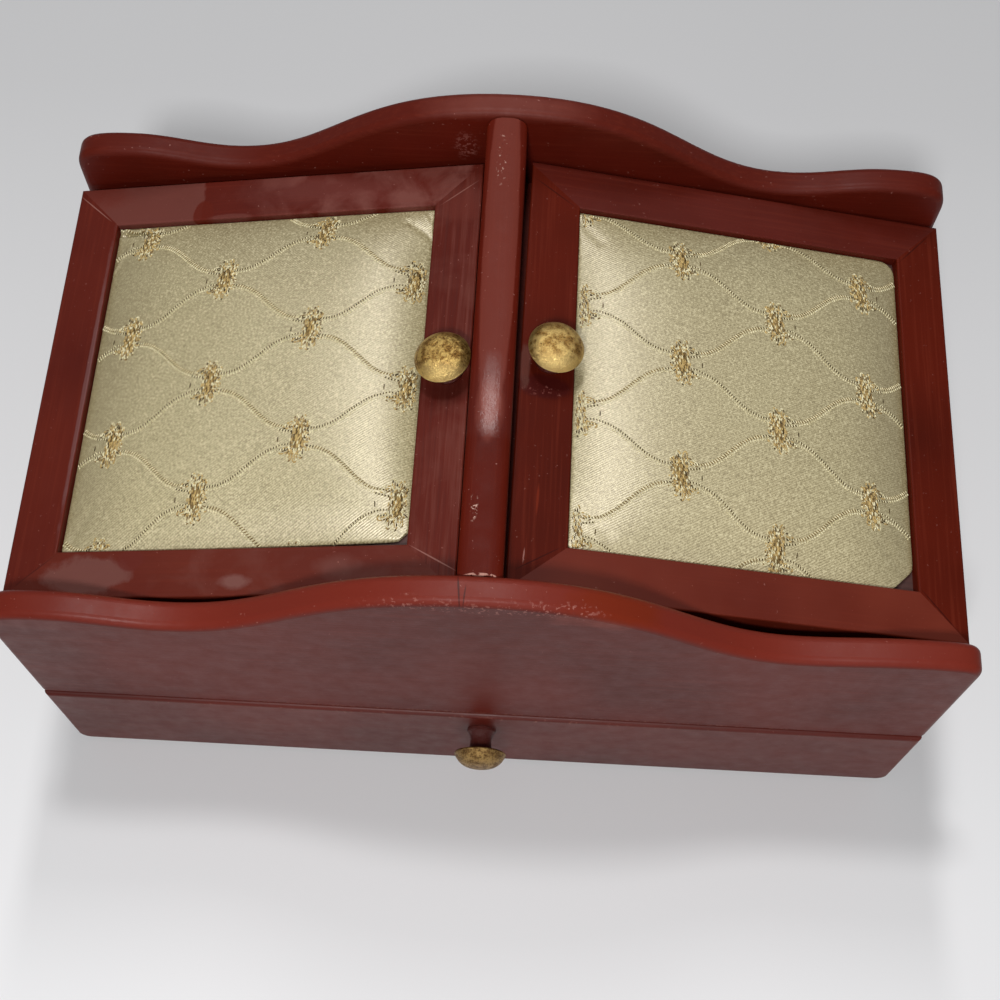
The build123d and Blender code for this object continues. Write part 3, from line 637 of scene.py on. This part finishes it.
def cushionMesh(hand):
    low, high = openingOf(hand)
    middle = (low + high) / 2
    half = ((high.x - low.x) / 2 + cushion["press"], (high.y - low.y) / 2 + cushion["press"])
    bm = bmesh.new()
    bmesh.ops.create_grid(bm, x_segments=cushion["across"], y_segments=cushion["down"], size=1.0)
    bend = cushion["bend"]
    for v in bm.verts:
        s = math.sin(v.co.x * bend) / math.sin(bend)
        t = math.sin(v.co.y * bend) / math.sin(bend)
        squareness = cushion[hand] if s > 0 else cushion["outer"]
        full = (1 - abs(s) ** squareness) * (1 - abs(t) ** cushion["rails"])
        v.co = Vector((s * half[0], t * half[1], cushion["edge"] + cushion["crown"] * full))
    # The sides go down in two steps to the panel, and the bottom is closed.
    for rim in (cushion["side"], low.z + 0.1 * mm):
        rimEdges = [e for e in bm.edges if e.is_boundary]
        grown = bmesh.ops.extrude_edge_only(bm, edges=rimEdges)["geom"]
        for v in grown:
            if isinstance(v, bmesh.types.BMVert):
                v.co.z = rim
    bmesh.ops.holes_fill(bm, edges=[e for e in bm.edges if e.is_boundary], sides=0)
    bmesh.ops.recalc_face_normals(bm, faces=bm.faces)
    for v in bm.verts:
        # Askew at the front edge, more and more toward the divider
        towardBar = max(0.0, v.co.x / half[0] + 0.1) / 1.1
        if v.co.y < 0:
            v.co.y += corners[hand]["frontSkew"] * towardBar * (v.co.y / half[1]) ** 2
    for (signU, signV), size in corners[hand]["chamfers"].items():
        for v in bm.verts:
            over = v.co.x * signU + v.co.y * signV - (half[0] + half[1] - size)
            if v.co.x * signU > 0 and v.co.y * signV > 0 and over > 0:
                v.co.x -= signU * over / 2
                v.co.y -= signV * over / 2
    mesh = bpy.data.meshes.new("cushionStart")
    bm.to_mesh(mesh)
    bm.free()
    pinned = [v.index for v in mesh.vertices if v.co.z < cushion["edge"] + 0.1 * mm]
    before = [v.co.copy() for v in mesh.vertices]
    for v, first, after in zip(mesh.vertices, before, puffed(mesh.copy(), pinned)):
        move = after - first
        if move.length > cushion["cap"]:
            move = move.normalized() * cushion["cap"]
        v.co = first + move
    for v in mesh.vertices:
        # Small tucks run out of each corner.
        onTop = v.co.z > cushion["edge"] + 0.1 * mm
        reach = (half[0] - abs(v.co.x), half[1] - abs(v.co.y))
        away = math.hypot(*reach)
        if onTop and away < 5 * cushion["tuckReach"]:
            angle = math.atan2(reach[1], reach[0] + 1e-6)
            fade = math.exp(-away / cushion["tuckReach"]) * min(1, min(reach) / (2 * mm))
            wave = math.sin(angle * cushion["tucks"] + 2.0 * (v.co.x > 0) + 3.1 * (v.co.y > 0))
            v.co.z += cushion["tuck"] * fade * wave
        uneven = cushion["uneven"] * noise.noise(v.co * cushion["unevenScale"])
        v.co.z += uneven * (v.co.z > cushion["edge"])
        v.co.x += middle.x
        v.co.y += middle.y
    made = bpy.data.objects.new("cushionStart", mesh)
    bpy.context.scene.collection.objects.link(made)
    finer = made.modifiers.new("finer", "SUBSURF")
    finer.levels = 2
    finer.render_levels = 2
    final = bpy.data.meshes.new_from_object(made.evaluated_get(bpy.context.evaluated_depsgraph_get()))
    bpy.data.objects.remove(made)
    for v in final.vertices:
        for start, end, height, wide in folds[hand]:
            start, end = Vector(start) * mm, Vector(end) * mm
            share = (v.co.xy - start).dot(end - start) / (end - start).length_squared
            away = (v.co.xy - start.lerp(end, min(1, max(0, share)))).length / (wide * mm)
            if v.co.z > cushion["edge"] - 0.1 * mm and away < 3:
                v.co.z += height * mm * math.exp(-away * away)
    for face in final.polygons:
        face.use_smooth = True
    return final


# Satin brocade of silk and rayon: old ivory, taut, with a broad sheen that is brightest where the cloth is
# level. Its slanting twill lines are drawn 0.72 mm apart, coarser than the real 0.3 mm.
satin = {
    "ivory": "#928561", "pale": "#9B906B", "patch": 45 * mm,
    "twill": "#BFB389", "pitch": 0.72 * mm, "left": 54, "right": 61,
    "glint": "#D5CAA2", "dull": "#746745", "glintSize": 0.75 * mm,
    "backShare": 0.3, "frontShare": 0.85, "reach": 45 * mm,  # how much the lines show behind and in front
    "paintedShadeFrom": 14 * mm, "paintedShadeTo": 42 * mm, "paintedShade": 0.6,  # from the hinge's side
    "roughness": 0.40, "ior": 1.8, "gloss": 0.9, "glossTint": "#FFF5E4",
}


def satinCloth(name, hand):
    made, tree, shader, place = newMaterial(name)
    flat = alongLid(tree, place, hand)
    slanted = addNode(tree, "ShaderNodeMapping", {0: flat, 2: (0, 0, math.radians(satin[hand]))})
    # A wave texture of scale 1 repeats every 0.314 of a unit.
    wave = {"Scale": 0.314 / satin["pitch"], "Distortion": 0.7, "Detail": 2.0, "Detail Scale": 3.0}
    lines = addNode(tree, "ShaderNodeTexWave", {0: slanted, **wave}).outputs["Fac"]
    grain = {0: flat, "Scale": 1 / satin["glintSize"], "Detail": 2.0, "Roughness": 0.7}
    grain = addNode(tree, "ShaderNodeTexNoise", grain)
    broad = addNode(tree, "ShaderNodeTexNoise", {0: flat, "Scale": 1 / satin["patch"], "Detail": 2.0})
    # The lines show most toward the front; behind, the glints of single threads do.
    back = -lids[hand]["side"] * satin["reach"]
    depth = addNode(tree, "ShaderNodeSeparateXYZ", {0: flat}).outputs["Y"]
    depth = {0: depth, 1: back, 2: -back, 3: satin["backShare"], 4: satin["frontShare"]}
    depth = addNode(tree, "ShaderNodeMapRange", depth)

    share = addNode(tree, "ShaderNodeMapRange", {0: broad, 1: 0.3, 2: 0.7})
    tone = addNode(tree, "ShaderNodeMix", {0: share, 6: satin["ivory"], 7: satin["pale"]}, data_type="RGBA")
    share = addNode(tree, "ShaderNodeMath", {0: lines, 1: depth}, operation="MULTIPLY")
    tone = addNode(tree, "ShaderNodeMix", {0: share, 6: tone, 7: satin["twill"]}, data_type="RGBA")
    share = addNode(tree, "ShaderNodeMapRange", {0: grain, 1: 0.52, 2: 0.66, 4: 0.7})
    tone = addNode(tree, "ShaderNodeMix", {0: share, 6: tone, 7: satin["glint"]}, data_type="RGBA")
    share = addNode(tree, "ShaderNodeMapRange", {0: grain, 1: 0.34, 2: 0.46, 3: 0.7, 4: 0.0})
    tone = addNode(tree, "ShaderNodeMix", {0: share, 6: tone, 7: satin["dull"]}, data_type="RGBA")
    # Painted shade: darker where the cloth turns down beside the outer stile
    outer = addNode(tree, "ShaderNodeSeparateXYZ", {0: flat}).outputs["X"]
    outer = {0: outer, 1: satin["paintedShadeFrom"], 2: satin["paintedShadeTo"], 3: satin["paintedShade"], 4: 0.0}
    outer = addNode(tree, "ShaderNodeMapRange", outer)
    tone = addNode(tree, "ShaderNodeMix", {0: outer, 6: tone, 7: satin["dull"]}, data_type="RGBA")
    tree.links.new(tone.outputs[2], shader.inputs["Base Color"])
    shader.inputs["Roughness"].default_value = satin["roughness"]
    shader.inputs["IOR"].default_value = satin["ior"]
    shader.inputs["Specular IOR Level"].default_value = satin["gloss"]
    shader.inputs["Specular Tint"].default_value = linearColour(satin["glossTint"])
    height = addNode(tree, "ShaderNodeMath", {0: grain, 1: 0.7, 2: lines}, operation="MULTIPLY_ADD")
    bump = addNode(tree, "ShaderNodeBump", {"Strength": 0.32, "Distance": 0.15 * mm, "Height": height})
    tree.links.new(bump.outputs[0], shader.inputs["Normal"])
    return made


def silkThread(name, light, dark):
    # Twisted embroidery silk, a little uneven in colour
    made, tree, shader, place = newMaterial(name)
    uneven = addNode(tree, "ShaderNodeTexNoise", {0: place, "Scale": 1 / (1.5 * mm), "Detail": 2.0})
    share = addNode(tree, "ShaderNodeMapRange", {0: uneven, 1: 0.4, 2: 0.62})
    tone = addNode(tree, "ShaderNodeMix", {0: share, 6: light, 7: dark}, data_type="RGBA")
    tree.links.new(tone.outputs[2], shader.inputs["Base Color"])
    shader.inputs["Roughness"].default_value = 0.6
    shader.inputs["Specular IOR Level"].default_value = 0.3
    return made


ivory, tan, brown, umber = range(4)
threads = [
    silkThread("ivorySilkThread", "#E2D9B4", "#C6BB92"),
    silkThread("tanSilkThread", "#C0A66C", "#A88C56"),
    silkThread("brownSilkThread", "#8A7246", "#6C5632"),
    silkThread("umberSilkThread", "#5A4726", "#3E3016"),
]

# A common ogee trellis: wavy cords that part and meet again, with a stitched sprig where they come together.
# Each cord is a ladder of short slanting stitches with a pale row beside it, and opens out before a sprig.
# On the right cushion the cloth lies the other way, so its stitches are mirrored. Sizes are in millimetres,
# and a stitch has a half width, a half length and a half height.
trellis = {
    "column": 32.5, "row": 20.15, "apart": 3.0, "pitch": 0.92, "slant": 72,
    "start": 3.0, "stop": 2.0, "opening": 8.0, "opensOver": 3.0,
    "ladder": 0.30, "beside": -0.75, "openLadder": 0.85, "openBeside": -0.85,
    "light": (0.22, 0.52, 0.28), "dark": (0.22, 0.56, 0.15), "pale": (0.27, 0.46, 0.28),
    "small": 0.75, "broad": 1.45, "steep": 0.2,
    "margin": 0.8, "stray": 0.06, "strayTurn": 8,
}
# Where the pattern starts on each cushion, how much it leans, and the seed of its small irregularities
trellisStarts = {"left": (31.5, 14.9, -0.034), "right": (33.4, -4.9, 0.0)}
seeds = {"left": 7, "right": 8}


def addStitch(bm, ground, u, v, angle, size, thread):
    spot, up = ground.ray_cast(Vector((u * mm, v * mm, 0.05)), Vector((0, 0, -1)))[:2]
    if spot is None:
        return
    across = (Vector((1, 0, 0)) - up * up.x).normalized()
    lie = Matrix((across, up.cross(across), up)).transposed().to_4x4()
    turn = Matrix.Rotation(math.radians(angle - 90), 4, "Z")
    place = Matrix.Translation(spot) @ lie @ turn @ Matrix.Diagonal((*(Vector(size) * mm), 1))
    made = bmesh.ops.create_icosphere(bm, subdivisions=1, radius=1.0, matrix=place)["verts"]
    for face in {f for v in made for f in v.link_faces}:
        face.material_index = thread
        face.smooth = True


def stitched(name, ground, stitches):
    # Made in small lots that are joined, which is quicker than one long lot
    whole = bmesh.new()
    for first in range(0, len(stitches), 50):
        lot = bmesh.new()
        for stitch in stitches[first:first + 50]:
            addStitch(lot, ground, *stitch)
        part = bpy.data.meshes.new("lot")
        lot.to_mesh(part)
        lot.free()
        whole.from_mesh(part)
        bpy.data.meshes.remove(part)
    mesh = bpy.data.meshes.new(name)
    whole.to_mesh(mesh)
    whole.free()
    return mesh


def waveHeight(hand, wave, u):
    startU, startV, shear = trellisStarts[hand]
    swing = math.cos(math.pi * (u - startU) / trellis["column"])
    swing *= 1.38 - 0.38 * swing * swing  # a little squarer than a plain wave
    sign = 1 if wave % 2 else -1
    reach = trellis["row"] / 2 - trellis["apart"]
    return startV + shear * (u - startU) + (wave + 0.5) * trellis["row"] + sign * reach * swing


def cordStitches(hand, low, high, chance):
    startU = trellisStarts[hand][0]
    mirror = -lids[hand]["side"]
    margin, stray, strayTurn = trellis["margin"], trellis["stray"], trellis["strayTurn"]
    stitches = []
    for wave in range(-6, 6):
        u, count = low.x + margin, 0
        while u < high.x - margin:
            v = waveHeight(hand, wave, u)
            slope = math.atan2(waveHeight(hand, wave, u + 0.1) - v, 0.1)
            behind = (u - startU) % trellis["column"]
            ahead = trellis["column"] - behind
            opened = max(0.0, min(1.0, (trellis["opening"] - ahead) / trellis["opensOver"]))
            if behind > trellis["start"] and ahead > trellis["stop"]:
                rows = []
                offset = trellis["ladder"] + opened * (trellis["openLadder"] - trellis["ladder"])
                size = Vector(trellis["dark" if count % 2 else "light"])
                size.y *= 1 - opened * (1 - trellis["small"])
                # On each cord's back side every other ladder stitch is dark: painted shade of the raised cord
                dark = umber
                if slope * mirror < -trellis["steep"]:
                    size.y *= trellis["broad"]
                    dark = brown
                rows.append((offset, size, dark if count % 2 else ivory))
                offset = trellis["beside"] + opened * (trellis["openBeside"] - trellis["beside"])
                if count % 2 == 0 or opened > 0.5:
                    rows.append((offset, Vector(trellis["pale"]), umber if count % 2 else ivory))
                for offset, size, thread in rows:
                    offset += chance.uniform(-stray, stray)
                    atU = u - math.sin(slope) * offset * mirror
                    atV = v + math.cos(slope) * offset * mirror
                    angle = math.degrees(slope) + mirror * trellis["slant"]
                    angle += chance.uniform(-strayTurn, strayTurn)
                    if low.y + margin < atV < high.y - margin:
                        stitches.append((atU, atV, angle, size, thread))
            u += trellis["pitch"] / 2 * math.cos(slope)
            count += 1
    return stitches


# One sprig: a body of close upright stitches, petals and a small eye around it, and a single upright stitch
# beside it. Each petal is a loop with a dark middle. Places are from the sprig's middle, in millimetres.
sprig = {
    "tall": 11.8, "wide": 5.0, "rows": 10, "columns": 9, "lean": 0.12, "slant": 78, "gather": 0.84,
    "light": (0.29, 0.86, 0.34), "dark": (0.20, 0.86, 0.22),
    "petal": (0.29, 0.60, 0.30), "petalStitches": 10,
    "middle": (0.36, 0.66), "middleHeight": 0.16,  # a petal's dark middle: shares of its width and length
    # Across, along, half width, half length and turn of each petal
    "petals": (
        (-4.0, 5.3, 0.85, 1.9, -62), (-1.2, 7.4, 0.7, 1.8, 4), (1.2, 7.3, 0.75, 1.9, -14),
        (3.0, 5.1, 0.7, 1.7, -35), (3.5, 1.8, 0.6, 1.0, -60), (3.6, -0.9, 0.8, 0.9, 0),
        (3.1, -4.0, 0.7, 1.6, 50), (1.4, -6.5, 0.7, 1.7, 12), (-0.7, -7.9, 0.7, 1.8, 4),
        (-2.7, -7.3, 0.75, 1.9, -10), (-4.8, -5.2, 0.85, 1.9, -66),
    ),
    "beside": (
        (-6.7, -0.5, 90, (0.24, 1.15, 0.18), umber),
        (-6.1, -2.0, 130, (0.17, 0.6, 0.2), ivory),
    ),
}


def sprigStitches(chance):
    stitches = [(0, 0, 84, (1.9, 4.9, 0.08), tan)]
    # Among the tan stitches, the ivory and umber ones are partly thread colours and partly painted highlight
    # and shade on the raised stitches
    bodyThreads = ((brown, umber, umber), (tan, tan, ivory), (ivory, tan, brown))
    for i in range(sprig["rows"]):
        along = ((i + 0.5) / sprig["rows"] - 0.5) * sprig["tall"]
        for j in range(sprig["columns"]):
            across = ((j + 0.5 * (i % 2)) / (sprig["columns"] - 0.5) - 0.5) * sprig["wide"]
            thread = chance.choice(bodyThreads[(i + j) % 3])
            angle = sprig["slant"] + chance.uniform(-9, 9)
            wide, long, high = sprig["dark" if thread == umber else "light"]
            size = (wide, long * chance.uniform(0.75, 1.15), high)
            atU = across + along * sprig["lean"] + chance.uniform(-0.12, 0.12)
            stitches.append((atU, along + chance.uniform(-0.2, 0.2), angle, size, thread))
    loop = sprig["petalStitches"]
    for petalU, petalV, wide, long, turn in sprig["petals"]:
        petalU, petalV = petalU * sprig["gather"], petalV * sprig["gather"]
        spun = math.radians(turn)
        for k in range(loop):
            way = math.tau * k / loop
            du, dv = wide * math.cos(way), long * math.sin(way)
            atU = petalU + du * math.cos(spun) - dv * math.sin(spun)
            atV = petalV + du * math.sin(spun) + dv * math.cos(spun)
            angle = turn + math.degrees(math.atan2(long * math.cos(way), -wide * math.sin(way)))
            thread = chance.choice((ivory, ivory, tan)) if k % 4 else chance.choice((tan, brown, umber))
            stitches.append((atU, atV, angle, sprig["petal"], thread))
        middle = (wide * sprig["middle"][0], long * sprig["middle"][1], sprig["middleHeight"])
        stitches.append((petalU, petalV, turn + 90, middle, chance.choice((tan, brown, umber))))
    return stitches + list(sprig["beside"])


def sprigsOf(hand, low, high, chance):
    startU, startV, shear = trellisStarts[hand]
    mirror = -lids[hand]["side"]
    stitches = []
    for column in range(-1, 5):
        for row in range(-6, 6):
            if (column + row) % 2:
                continue
            u = startU + column * trellis["column"]
            v = startV + row * trellis["row"] + shear * (u - startU)
            for du, dv, angle, size, thread in sprigStitches(chance):
                atU, atV = u + du, v + dv * mirror
                clear = size[0] + trellis["margin"]
                if low.x + clear < atU < high.x - clear and low.y + clear < atV < high.y - clear:
                    stitches.append((atU, atV, angle * mirror, size, thread))
    return stitches


for hand in ("left", "right"):
    mesh = cushionMesh(hand)
    ground = BVHTree.FromPolygons([v.co for v in mesh.vertices], [p.vertices for p in mesh.polygons])
    chance = random.Random(seeds[hand])
    low, high = (corner / mm for corner in openingOf(hand))
    cords = stitched("trellis", ground, cordStitches(hand, low, high, chance))
    sprigs = stitched("sprigs", ground, sprigsOf(hand, low, high, chance))
    turn = lidPlace(hand)
    for data in (mesh, cords, sprigs):
        data.transform(turn)
    pad = addObject(hand + "_lid_cushion", mesh, hand + "_lid")
    mesh.materials.clear()
    mesh.materials.append(satinCloth(hand + "IvorySatin", hand))
    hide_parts(hand + "_lid_pad")
    for data, name in ((cords, "trellis"), (sprigs, "sprigs")):
        for thread in threads:
            data.materials.append(thread)
        addObject(f"{hand}_lid_{name}", data, hand + "_lid")
    print(f"{hand} cushion stitched")

print("finished")
